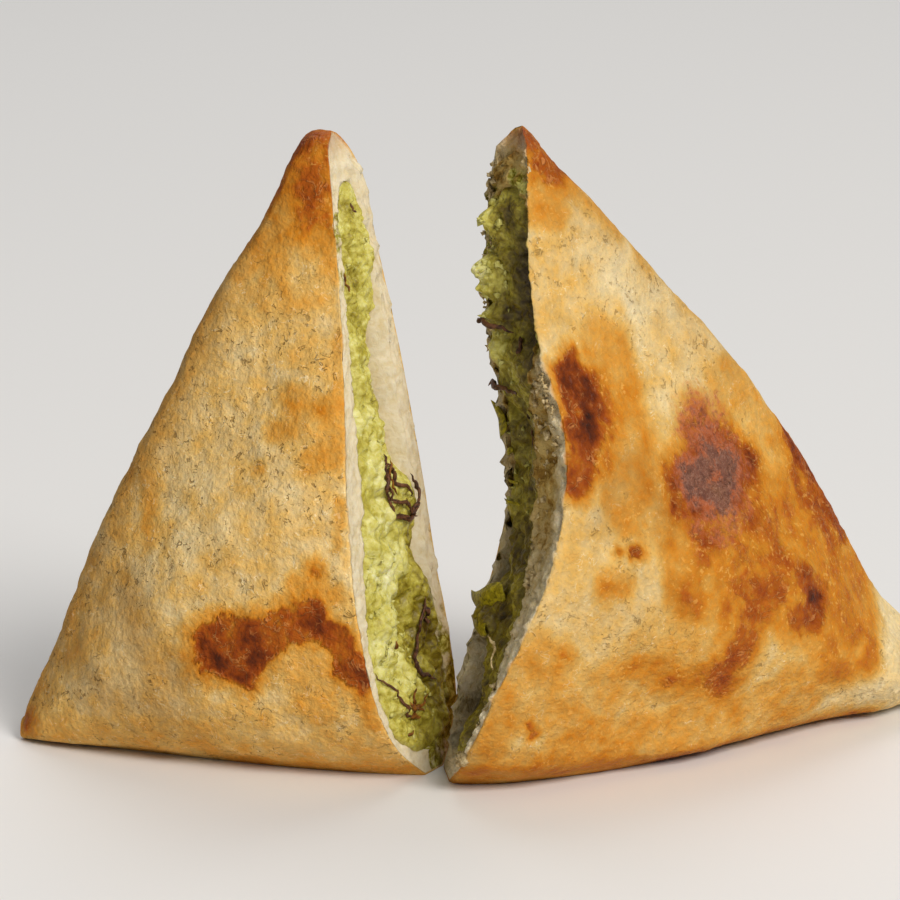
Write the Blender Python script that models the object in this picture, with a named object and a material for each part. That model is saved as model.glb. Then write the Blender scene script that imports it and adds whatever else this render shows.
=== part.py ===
"""Baked triangular samosa cut in two through its apex.

Two halves stand on their base edge and open away from each other like a V,
almost touching at the foot of the cut.  Each half is a bread dough shell
around a mashed filling that shows at the cut.
Metres, +Z up, +X from the left half to the right half.
"""

import math

import bmesh
import bpy
from mathutils import Vector

MM = 0.001

CLEARANCE = 0.52         # between filling and dough, mm like all sizes below
SIDE_STEPS = 20          # stations up each face of a section
SIDE_EVENNESS = 0.35     # 1 spaces them evenly, less crowds them at the ends
OUTER_SECTIONS = 18      # sections of the outer skin
OUTER_EVENNESS = 0.75
CORNER_STOP = 0.45       # how far short of the next section the skin ends
POCKET_SECTIONS = 10     # sections of the pocket
POCKET_SPACING = 0.85    # under 1 crowds them at the cut
CAP_COLUMNS = 3          # stations across a closed end
SHIFT = (-6.77, -9.46)   # puts the middle of the footprint on the origin

FOLD = 3.0               # rounding of the sloping edge away from the cut
FOLD_START = 0.15        # share of the length where that rounding is reached
FOLD_SHARE = 0.42        # most of a section's height that it may take
FOLD_THICKNESS = 0.06    # share of the depth left on the edge itself
CORNER_BLUNTNESS = 8     # power of the blunt outer corner
FACE_FADE = (2.3, 0.75)  # powers by which the faces close toward the corner
BASE_SPREAD = 0.34       # how far a bulge of the base reaches along the half
BASE_RISE = 0.09         # and how far up the face
BASE_START = 0.12        # share of the length where it is full
LIFT_START = 0.6         # share of the length where the base starts to rise
WALL_EFFECT = 1.3        # how fast the pocket closes where the dough is thin
POCKET_FLOOR = (4.0, 0.15)   # rounding of the floor, share of the depth left
POCKET_ROOF = (5.0, 0.20)
POCKET_LEAST = 0.12      # least depth of the pocket
CUT_FADE = 3             # power by which the shape of the cut dies out inside
CORNER_BULGE = 0.5
LUMP_WAVES = (2.3, 1.9)  # waves of the cut filling, up and across
SHARP_ANGLE = 50.0       # degrees

# Outlines of the cut: (share of the height, depth from the middle plane).
# Bells are (place, size, width), with places and widths as shares.
LEFT = {
    "name": "left",
    "side": -1.0,
    "turn": 16.0,                # degrees back from the row
    "foot": (-1.9, -0.9),        # where the cut meets the table
    "length": 59.6,
    "height": 87.2,
    "lean": 12.6,                # outward shift of the apex
    "bend": 1.28,                # fullness of the sloping edge
    "swells": (
        (0.00, -0.7, 0.03),
        (0.10, 2.6, 0.08),
        (0.60, -1.4, 0.14),
        (0.86, -1.9, 0.09),
    ),
    "corner": 4.5,               # height of the blunt outer corner
    "lift": 0.0,                 # rise of the base toward the corner
    "near": ((0, 1.5), (0.06, 8), (0.15, 12.2), (0.32, 13.6), (0.5, 11.9), (0.76, 6.5), (1, 3.2)),
    "far": ((0, 3.5), (0.06, 8.6), (0.15, 10.2), (0.32, 8.9), (0.5, 7.9), (0.76, 5.8), (1, 4)),
    "skew": (-0.21, -0.21),      # turn of the cut at the foot and at the apex
    "hollow": (0.6, -0.6, 0.25),   # part of the cut that lies further out
    "torn": (0.5, 0.0, 0.1),     # crust torn back from the crumb, near face
    "fold": (2.0, 5.0),          # rounding of the apex, near and far
    "base": ((0.30, 1.6), (0.20, 1.0)),
    "wall": ((1.2, (0.45, 3.6, 0.17)), (2.7, (0.56, 2.2, 0.16))),
    "pocket": (3.2, 80.5, 0.80),  # floor, roof at the cut, share of the length
    "lumps": 1.0,                # how far the filling stands out at the cut
}
RIGHT = {
    "name": "right",
    "side": 1.0,
    "turn": 31.0,
    "foot": (0.27, -5.8),
    "length": 84.6,
    "height": 87.6,
    "lean": 10.4,
    "bend": 1.10,
    "swells": (
        (0.04, 1.0, 0.05),
        (0.25, 0.5, 0.12),
        (0.50, 2.2, 0.16),
        (0.80, -4.3, 0.10),
    ),
    "corner": 4.5,
    "lift": 0.8,
    "near": ((0, -0.4), (0.05, 6.8), (0.14, 12.5), (0.33, 17), (0.52, 15.1), (0.74, 9), (1, 3)),
    "far": ((0, 6.4), (0.05, 5.6), (0.14, 6.2), (0.33, 6), (0.52, 5.2), (0.74, 5.5), (1, 5.4)),
    "skew": (0.46, 0.02),
    "hollow": (0.41, 7.0, 0.24),
    "torn": (0.57, 1.9, 0.12),
    "fold": (2.0, 6.0),
    "base": ((0.30, 6.9), (0.20, 3.0)),
    "wall": ((1.3, (0.44, 16.0, 0.17)), (2.2, (1.00, 0.8, 0.25))),
    "pocket": (3.4, 80.0, 0.82),
    "lumps": 1.8,
}


def bell(value, place, size, width):
    """Bell curve of the given size around a place."""
    return size * math.exp(-(((value - place) / width) ** 2))


def rounding(value):
    """Quarter circle that rises from 0 to 1 as the value goes from 0 to 1."""
    left = 1.0 - min(1.0, max(0.0, value))
    return math.sqrt(1.0 - left**2)


def blunted(value, least):
    """Quarter circle that starts from the least value."""
    return least + (1.0 - least) * rounding(value)


def spaced(even, evenness):
    """Even spacing from 0 to 1 mixed with one that is denser at the ends."""
    return evenness * even + (1.0 - evenness) * (1.0 - math.cos(math.pi * even)) / 2.0


def smooth_outline(points, share):
    """Cubic curve through an outline's points, with averaged slopes."""
    count = len(points)
    k = max(i for i in range(count - 1) if i == 0 or points[i][0] <= share)

    def slope(i):
        low, high = points[max(i - 1, 0)], points[min(i + 1, count - 1)]
        return (high[1] - low[1]) / (high[0] - low[0])

    (start, first), (end, last) = points[k], points[k + 1]
    step = end - start
    f = (share - start) / step
    return (
        (2 * f**3 - 3 * f**2 + 1) * first
        + (f**3 - 2 * f**2 + f) * step * slope(k)
        + (3 * f**2 - 2 * f**3) * last
        + (f**3 - f**2) * step * slope(k + 1)
    )


def edge_height(half, along):
    """Height of the sloping edge: full near the apex, blunt at the corner."""
    corner = half["corner"]
    slope = (half["height"] - corner) * (1.0 - along ** half["bend"])
    blunt = corner * math.sqrt(max(0.0, 1.0 - along**CORNER_BLUNTNESS))
    return slope + blunt + sum(bell(along, *swell) for swell in half["swells"])


def face_depth(half, face, along, share):
    """Depth of the outer skin, thinner outward and spread at the base."""
    first, second = FACE_FADE
    depth = smooth_outline(half[face], share) * (1.0 - along**first) ** second
    place, size = half["base"][face == "far"]
    spread = bell(along, place, size, BASE_SPREAD) * rounding(along / BASE_START)
    return depth + spread * math.exp(-((share / BASE_RISE) ** 2))


def pocket_depth(half, face, along, share):
    """Depth of the pocket: the skin less the wall, which thins with it."""
    depth = max(0.0, face_depth(half, face, along, share))
    thin, belly = half["wall"][face == "far"]
    wall = thin + bell(share, *belly)
    return depth * depth / (depth + WALL_EFFECT * wall)


def outward_place(half, along, share, depth, crust):
    """Distance out from the foot: the sections lean and the cut is skewed."""
    lean = half["lean"] * share
    low, high = half["skew"]
    cut = (low + (high - low) * share) * depth + bell(share, *half["hollow"])
    if crust and depth < 0.0:
        cut += bell(share, *half["torn"])
    return half["length"] * along + lean * (1.0 - along) + cut * (1.0 - along) ** CUT_FADE


def section(half, along, inside=False, clearance=0.0):
    """Closed ring of local points (outward, depth, height).

    The ring climbs the near face and comes down the far face.  Inside it is
    the pocket's wall, drawn in by the clearance for the filling.
    """
    top = edge_height(half, along)
    low, high = 0.0, top
    if inside:
        low = half["pocket"][0] + clearance
        high = top * half["pocket"][1] / half["height"] - clearance
    faces = []
    for face, sign in (("near", -1.0), ("far", 1.0)):
        fold = half["fold"][face == "far"]
        fold += (FOLD - fold) * min(1.0, along / FOLD_START)
        fold = min(fold, FOLD_SHARE * top)
        points = []
        for i in range(SIDE_STEPS):
            height = low + (high - low) * spaced(i / (SIDE_STEPS - 1), SIDE_EVENNESS)
            share = height / top
            if inside:
                depth = pocket_depth(half, face, along, share) - clearance
                depth *= blunted((height - low) / POCKET_FLOOR[0], POCKET_FLOOR[1])
                depth *= blunted((high - height) / POCKET_ROOF[0], POCKET_ROOF[1])
                depth = max(depth, POCKET_LEAST)
            else:
                depth = face_depth(half, face, along, share)
                depth *= blunted((top - height) / fold, FOLD_THICKNESS)
            depth *= sign
            outward = outward_place(half, along, share, depth, not inside)
            raised = half["lift"] * max(0.0, (along - LIFT_START) / (1.0 - LIFT_START)) ** 2
            points.append((outward, depth, height + raised))
        faces.append(points)
    return faces[0] + faces[1][::-1]


def placed(half, point):
    """Move a local point to its place in the row, in metres."""
    outward, depth, height = point
    turn = math.radians(half["turn"])
    x = half["side"] * (math.cos(turn) * outward - math.sin(turn) * depth)
    y = math.sin(turn) * outward + math.cos(turn) * depth
    foot_x, foot_y = half["foot"]
    return Vector((x + foot_x + SHIFT[0], y + foot_y + SHIFT[1], height)) * MM


def outer_sections(half):
    """Sections of the outer skin from the cut to the outer corner."""
    sections = []
    for k in range(OUTER_SECTIONS):
        along = spaced(k / (OUTER_SECTIONS - 1 + CORNER_STOP), OUTER_EVENNESS)
        sections.append(section(half, along))
    return sections


def pocket_sections(half, clearance=0.0):
    """Sections of the pocket, or with a clearance those of the filling."""
    reach = half["pocket"][2] - clearance / half["length"]
    sections = []
    for k in range(POCKET_SECTIONS):
        along = reach * (k / (POCKET_SECTIONS - 1)) ** POCKET_SPACING
        sections.append(section(half, along, True, clearance))
    return sections


def loft(mesh, half, sections):
    """Skin through the sections, returned as rings of vertices."""
    rings = []
    for points in sections:
        rings.append([mesh.verts.new(placed(half, point)) for point in points])
    for first, second in zip(rings, rings[1:]):
        bridge(mesh, first, second)
    return rings


def bridge(mesh, first, second):
    """Quads between two rings of equal count."""
    for i in range(len(first)):
        j = (i + 1) % len(first)
        mesh.faces.new((first[i], first[j], second[j], second[i]))


def fan(mesh, start, end, row):
    """Triangles from the closing edge of a ring to its first rung."""
    for first, second in zip(row, row[1:]):
        mesh.faces.new((start, first, second))
    mesh.faces.new((start, row[-1], end))


def close_end(mesh, half, points, ring, bulge):
    """Close a ring with rungs from near to far that bulge unevenly."""
    count = len(points)
    rows = []
    for i in range(1, count // 2 - 1):
        near, far = points[i], points[count - 1 - i]
        row = [ring[i]]
        for c in range(1, CAP_COLUMNS + 1):
            f = c / (CAP_COLUMNS + 1)
            outward, depth, height = (a + (b - a) * f for a, b in zip(near, far))
            lump = 0.6 + 0.4 * math.sin(LUMP_WAVES[0] * i + LUMP_WAVES[1] * c)
            outward -= bulge * math.sin(math.pi * f) * lump
            row.append(mesh.verts.new(placed(half, (outward, depth, height))))
        row.append(ring[count - 1 - i])
        rows.append(row)
    for lower, upper in zip(rows, rows[1:]):
        for c in range(CAP_COLUMNS + 1):
            mesh.faces.new((lower[c], lower[c + 1], upper[c + 1], upper[c]))
    fan(mesh, ring[0], ring[-1], rows[0])
    fan(mesh, ring[count // 2 - 1], ring[count // 2], rows[-1])


def finish(mesh, name, material, collection):
    """Turn a closed mesh into a smooth shaded object."""
    bmesh.ops.recalc_face_normals(mesh, faces=mesh.faces)
    data = bpy.data.meshes.new(name)
    mesh.to_mesh(data)
    mesh.free()
    data.materials.append(material)
    data.shade_smooth()
    data.set_sharp_from_angle(angle=math.radians(SHARP_ANGLE))
    collection.objects.link(bpy.data.objects.new(name, data))


def make_dough(half, material, collection):
    """Outer skin, cut rim and pocket as one closed solid."""
    mesh = bmesh.new()
    skin = outer_sections(half)
    outer = loft(mesh, half, skin)
    close_end(mesh, half, skin[-1], outer[-1], -CORNER_BULGE)
    lining = pocket_sections(half)
    inner = loft(mesh, half, lining)
    close_end(mesh, half, lining[-1], inner[-1], 0.0)
    bridge(mesh, outer[0], inner[0])
    finish(mesh, half["name"] + "_dough", material, collection)


def make_filling(half, material, collection):
    """Mash that fills the pocket, lumpy where it is cut."""
    mesh = bmesh.new()
    body = pocket_sections(half, CLEARANCE)
    rings = loft(mesh, half, body)
    close_end(mesh, half, body[0], rings[0], half["lumps"])
    close_end(mesh, half, body[-1], rings[-1], 0.0)
    finish(mesh, half["name"] + "_filling", material, collection)


def make_material(name, colour, roughness):
    """Plain Principled material."""
    material = bpy.data.materials.new(name)
    material.use_nodes = True
    shader = material.node_tree.nodes["Principled BSDF"]
    shader.inputs["Base Color"].default_value = (*colour, 1.0)
    shader.inputs["Roughness"].default_value = roughness
    shader.inputs["Metallic"].default_value = 0.0
    material.diffuse_color = (*colour, 1.0)
    return material


for old in list(bpy.data.objects):
    bpy.data.objects.remove(old)

samosa = bpy.data.collections.new("samosa")
bpy.context.scene.collection.children.link(samosa)

for half, crust in ((LEFT, (0.66, 0.47, 0.25)), (RIGHT, (0.66, 0.41, 0.17))):
    baked = make_material(half["name"] + "_baked_dough", crust, 0.75)
    mash = make_material(half["name"] + "_green_mash", (0.42, 0.40, 0.12), 0.60)
    make_dough(half, baked, samosa)
    make_filling(half, mash, samosa)
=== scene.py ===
"""Baked samosa cut in two through its apex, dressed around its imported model.

Lengths are in mm and turn into metres when a mesh is made.
"""

import math

import bmesh
import bpy
import numpy as np
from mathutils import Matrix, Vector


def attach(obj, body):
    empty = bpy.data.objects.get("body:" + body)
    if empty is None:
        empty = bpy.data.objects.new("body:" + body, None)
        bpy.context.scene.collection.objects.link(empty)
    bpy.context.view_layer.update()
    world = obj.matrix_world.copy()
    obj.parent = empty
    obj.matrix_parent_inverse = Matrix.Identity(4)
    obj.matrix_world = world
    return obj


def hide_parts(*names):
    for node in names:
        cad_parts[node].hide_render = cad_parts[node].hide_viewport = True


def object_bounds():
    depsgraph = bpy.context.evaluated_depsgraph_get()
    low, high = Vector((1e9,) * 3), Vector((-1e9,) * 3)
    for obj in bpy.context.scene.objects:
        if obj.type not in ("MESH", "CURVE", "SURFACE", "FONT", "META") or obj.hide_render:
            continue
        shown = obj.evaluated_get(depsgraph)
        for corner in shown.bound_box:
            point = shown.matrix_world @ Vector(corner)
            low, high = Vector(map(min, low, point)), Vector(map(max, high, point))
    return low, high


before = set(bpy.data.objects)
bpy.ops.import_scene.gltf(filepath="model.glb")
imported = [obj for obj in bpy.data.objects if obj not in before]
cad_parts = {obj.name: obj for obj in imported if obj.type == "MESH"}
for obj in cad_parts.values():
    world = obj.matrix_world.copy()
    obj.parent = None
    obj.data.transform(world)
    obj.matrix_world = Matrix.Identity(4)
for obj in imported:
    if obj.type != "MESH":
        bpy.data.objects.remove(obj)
cad_box = [list(corner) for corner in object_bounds()]

# ---------------------------------------------------------------- dough shape
# Two halves of a folded bread dough parcel, cut through the apex and standing
# on their base edge.  The sections below are those of the solids: a near and a
# far face that close toward the outer corner, around a pocket for the filling.

MM = 0.001
SHIFT = (-6.77, -9.46)
FOLD, FOLD_START, FOLD_SHARE, FOLD_THICKNESS = 3.0, 0.15, 0.42, 0.06
CORNER_BLUNTNESS = 8
FACE_FADE = (2.3, 0.75)
BASE_SPREAD, BASE_RISE, BASE_START = 0.34, 0.09, 0.12
LIFT_START = 0.6
WALL_EFFECT = 1.3
POCKET_FLOOR, POCKET_ROOF, POCKET_LEAST = (4.0, 0.15), (5.0, 0.20), 0.12
CUT_FADE = 3
EVENNESS = 0.6
CORNER_PLACE = 0.982        # share of the length where the corner is capped
CORNER_BULGE = 0.5

# Each line holds the left half's value and then the right half's.
SIZES = {
    "name": ("left", "right"),
    "side": (-1.0, 1.0),
    "turn": (16.0, 31.0),
    "foot": ((-1.9, -0.9), (0.27, -5.8)),
    "length": (59.6, 84.6),
    "height": (87.2, 87.6),
    "lean": (12.6, 10.4),
    "bend": (1.28, 1.10),
    "swells": (
        ((0.00, -0.7, 0.03), (0.10, 2.6, 0.08), (0.60, -1.4, 0.14), (0.86, -1.9, 0.09)),
        ((0.04, 1.0, 0.05), (0.25, 0.5, 0.12), (0.50, 2.2, 0.16), (0.80, -4.3, 0.10)),
    ),
    "corner": (4.5, 4.5),
    "lift": (0.0, 0.8),
    "near": (
        ((0, 1.5), (0.06, 8), (0.15, 12.2), (0.32, 13.6), (0.5, 11.9), (0.76, 6.5), (1, 3.2)),
        ((0, -0.4), (0.05, 6.8), (0.14, 12.5), (0.33, 17), (0.52, 15.1), (0.74, 9), (1, 3)),
    ),
    "far": (
        ((0, 3.5), (0.06, 8.6), (0.15, 10.2), (0.32, 8.9), (0.5, 7.9), (0.76, 5.8), (1, 4)),
        ((0, 6.4), (0.05, 5.6), (0.14, 6.2), (0.33, 6), (0.52, 5.2), (0.74, 5.5), (1, 5.4)),
    ),
    "skew": ((-0.21, -0.21), (0.46, 0.02)),
    "hollow": ((0.6, -0.6, 0.25), (0.41, 7.0, 0.24)),
    "torn": ((0.5, 0.0, 0.1), (0.57, 1.9, 0.12)),
    "fold": ((2.0, 5.0), (2.0, 6.0)),
    "base": (((0.30, 1.6), (0.20, 1.0)), ((0.30, 6.9), (0.20, 3.0))),
    "wall": (
        ((1.2, (0.45, 3.6, 0.17)), (2.7, (0.56, 2.2, 0.16))),
        ((1.3, (0.44, 16.0, 0.17)), (2.2, (1.00, 0.8, 0.25))),
    ),
    "pocket": ((3.2, 80.5, 0.80), (3.4, 80.0, 0.82)),
}
LEFT, RIGHT = ({key: pair[k] for key, pair in SIZES.items()} for k in (0, 1))


def bell(value, place, size, width):
    """size * exp(-((value - place) / width)^2)."""
    return size * np.exp(-(((value - place) / width) ** 2))


def rounding(value):
    """Quarter circle: sqrt(1 - (1 - value)^2), with value held in 0..1."""
    return np.sqrt(1.0 - (1.0 - np.clip(value, 0.0, 1.0)) ** 2)


def blunted(value, least):
    """Quarter circle that starts from the least value."""
    return least + (1.0 - least) * rounding(value)


def eased(value, start, end):
    """Smooth step 3 t^2 - 2 t^3 as the value goes from start to end."""
    t = np.clip((value - start) / (end - start), 0.0, 1.0)
    return t * t * (3.0 - 2.0 * t)


def spaced(count):
    """Even spacing mixed with a cosine one that is denser at both ends."""
    even = np.linspace(0.0, 1.0, count)
    return EVENNESS * even + (1.0 - EVENNESS) * (1.0 - np.cos(np.pi * even)) / 2.0


def smooth_outline(points, share):
    """Cubic Hermite curve through the points, with averaged slopes."""
    x, y = np.array(points, float).T
    slope = np.concatenate([y[1:2] - y[:1], y[2:] - y[:-2], y[-1:] - y[-2:-1]])
    slope /= np.concatenate([x[1:2] - x[:1], x[2:] - x[:-2], x[-1:] - x[-2:-1]])
    k = np.clip(np.searchsorted(x, share, side="right") - 1, 0, len(x) - 2)
    step = x[k + 1] - x[k]
    f = (share - x[k]) / step
    rise = 3 * f**2 - 2 * f**3
    ends = (1 - rise) * y[k] + rise * y[k + 1]
    return ends + step * ((f**3 - 2 * f**2 + f) * slope[k] + (f**3 - f**2) * slope[k + 1])


def edge_height(half, along):
    """Height of the sloping edge: a power curve, blunt at the corner, plus swells."""
    corner = half["corner"]
    slope = (half["height"] - corner) * (1.0 - along ** half["bend"])
    blunt = corner * np.sqrt(np.clip(1.0 - along**CORNER_BLUNTNESS, 0.0, 1.0))
    return slope + blunt + sum(bell(along, *swell) for swell in half["swells"])


def face_depth(half, face, along, share):
    """Outline of the cut, thinned outward, plus the spread of the base."""
    first, second = FACE_FADE
    depth = smooth_outline(half[face], share) * (1.0 - along**first) ** second
    place, size = half["base"][face == "far"]
    spread = bell(along, place, size, BASE_SPREAD) * rounding(along / BASE_START)
    return depth + spread * np.exp(-((share / BASE_RISE) ** 2))


def pocket_depth(half, face, along, share):
    """Depth of the pocket: depth^2 / (depth + wall)."""
    depth = np.maximum(0.0, face_depth(half, face, along, share))
    thin, belly = half["wall"][face == "far"]
    wall = thin + bell(share, *belly)
    return depth * depth / (depth + WALL_EFFECT * wall)


def outward_place(half, along, share, depth, crust):
    """Distance out from the foot: length * along, the lean, and the skewed cut."""
    low, high = half["skew"]
    cut = (low + (high - low) * share) * depth + bell(share, *half["hollow"])
    if crust:
        cut = cut + bell(share, *half["torn"]) * (depth < 0.0)
    lean = half["lean"] * share
    return half["length"] * along + lean * (1.0 - along) + cut * (1.0 - along) ** CUT_FADE


def between(first, second, count):
    """Rows of points between two others, evenly spaced."""
    return first + (second - first) * np.linspace(0.0, 1.0, count + 2)[1:-1, None]


def ring(half, along, steps, inside=False, clearance=0.0):
    """Closed rings of local points (outward, depth, height), one per place along.

    A ring climbs the near face, crosses the top strip, comes down the far face
    and crosses the base strip.  steps holds the counts of those four.
    """
    near_steps, top_steps, far_steps, base_steps = steps
    along = np.asarray(along, float)[:, None]
    top = edge_height(half, along)
    low, high = 0.0 * top, top
    if inside:
        low = low + half["pocket"][0] + clearance
        high = top * half["pocket"][1] / half["height"] - clearance
    faces = []
    for face, sign, count in (("near", -1.0, near_steps), ("far", 1.0, far_steps)):
        height = low + (high - low) * spaced(count)[None]
        share = height / top
        if inside:
            depth = pocket_depth(half, face, along, share) - clearance
            depth = depth * blunted((height - low) / POCKET_FLOOR[0], POCKET_FLOOR[1])
            depth = depth * blunted((high - height) / POCKET_ROOF[0], POCKET_ROOF[1])
            depth = np.maximum(depth, POCKET_LEAST)
        else:
            fold = half["fold"][face == "far"]
            fold = fold + (FOLD - fold) * np.minimum(1.0, along / FOLD_START)
            fold = np.minimum(fold, FOLD_SHARE * top)
            depth = face_depth(half, face, along, share)
            depth = depth * blunted((top - height) / fold, FOLD_THICKNESS)
        depth = depth * sign
        outward = outward_place(half, along, share, depth, not inside)
        lift = half["lift"] * np.maximum(0.0, (along - LIFT_START) / (1.0 - LIFT_START)) ** 2
        faces.append(np.stack(np.broadcast_arrays(outward, depth, height + lift), -1))
    near, far = faces[0], faces[1][:, ::-1]
    roof = between(near[:, -1:], far[:, :1], top_steps)
    base = between(far[:, -1:], near[:, :1], base_steps)
    return np.concatenate([near, roof, far, base], 1)


def placed(half, local):
    """Local points turned by the half's angle and moved to its foot, still in mm."""
    outward, depth, height = np.moveaxis(local, -1, 0)
    turn = math.radians(half["turn"])
    x = half["side"] * (math.cos(turn) * outward - math.sin(turn) * depth)
    y = math.sin(turn) * outward + math.cos(turn) * depth
    foot_x, foot_y = half["foot"]
    return np.stack([x + foot_x + SHIFT[0], y + foot_y + SHIFT[1], height], -1)


# ---------------------------------------------------------------- baked dough
# The skin is bread dough baked on a hot floor: cream and floury where it did
# not touch, golden to red-brown in blisters, charred in two places.  Its cut
# rim is open crumb.  One closed skin per half, from the corner to the pocket.

DOUGH_STEPS = (236, 3, 96, 22)          # near face, top strip, far face, base strip
CAP_ROWS, SKIN_ROWS, RIM_ROWS, POCKET_ROWS = 7, 196, 18, 14
POCKET_BULGE = 0.6
SKIN_THICKNESS = 0.30
DOUGH_SEEDS = {"left": 11, "right": 37}
PRIMES = (73856093, 19349663, 83492791)
LOW_BITS = np.uint64(0xFFFFFFFF)

# A mark is (path, radius, edge, heat, halo).  A path runs through distances out
# from the foot and up, in turn; heat runs from 0, pale, to 1, almost black; the
# edge is how far the mark takes to fade and the halo how far its golden rim reaches.
NEAR_MARKS = {}
NEAR_MARKS["left"] = (
    ((14.8, 88, 17.4, 85.4), 1.8, 2.6, 0.7, 3),
    ((13.4, 88, 14.4, 84, 15, 80, 14.4, 77.4), 3.6, 4, 0.56, 4.4),
    ((13, 80.5, 15.4, 78.6), 1.8, 2.6, 0.6, 3),
    ((18.4, 84, 21.6, 77), 1.4, 3, 0.58, 3.4),
    ((12.2, 76, 12, 71), 0.8, 2.6, 0.43, 3),
    ((17, 75, 22, 72), 1.6, 3.6, 0.44, 4),
    ((18.5, 66.5), 0.4, 0.8, 0.42, 1),
    ((9.8, 61, 9.4, 53), 0.8, 2.4, 0.32, 2),
    ((12, 51.6, 16.6, 52), 1.3, 1.9, 0.43, 2.8),
    ((16, 48.4, 18.4, 48), 0.8, 1.4, 0.43, 2.2),
    ((10.4, 46, 13, 45), 1.2, 1.9, 0.41, 2.6),
    ((10, 53, 10.4, 46), 1.2, 2.2, 0.36, 2.6),
    ((21, 43), 0.8, 1.4, 0.34, 1.8),
    ((8.6, 40, 9, 34), 0.4, 1.4, 0.33, 1.4),
    ((37.6, 33.2), 1.1, 1, 0.42, 1.6),
    ((38, 36, 38.5, 39), 1, 2, 0.29, 2.2),
    ((26.2, 18.5, 23.2, 18.1), 4.2, 0.9, 0.68, 3.2),
    ((28, 19.2, 26.6, 16.6), 1.4, 1.6, 0.74, 2),
    ((26, 16.6, 22.6, 15.6), 2.2, 1, 0.66, 2),
    ((20.4, 20.2, 16.6, 22.6, 12.6, 23.8), 2.9, 0.9, 0.66, 2.6),
    ((12.2, 23.6, 8.9, 21.2, 7.4, 18.2, 6.6, 16.6), 2.1, 0.9, 0.68, 2.2),
    ((6.2, 15.4, 5.6, 13.6), 1, 1.5, 0.62, 2.2),
    ((5.4, 12.6, 5, 9.6), 0.6, 1.8, 0.5, 2.4),
    ((12, 30.4), 1, 1.2, 0.57, 1.8),
    ((14.4, 28.2, 8.8, 27.4), 0.9, 2, 0.46, 2.4),
    ((13, 17, 12, 12), 2.6, 3, 0.34, 3),
    ((0, 1.6, 12, 1, 26, 0.6), 0.6, 2.4, 0.5, 2.4),
    ((57.5, 3), 1.8, 2.2, 0.54, 2),
)
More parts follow.
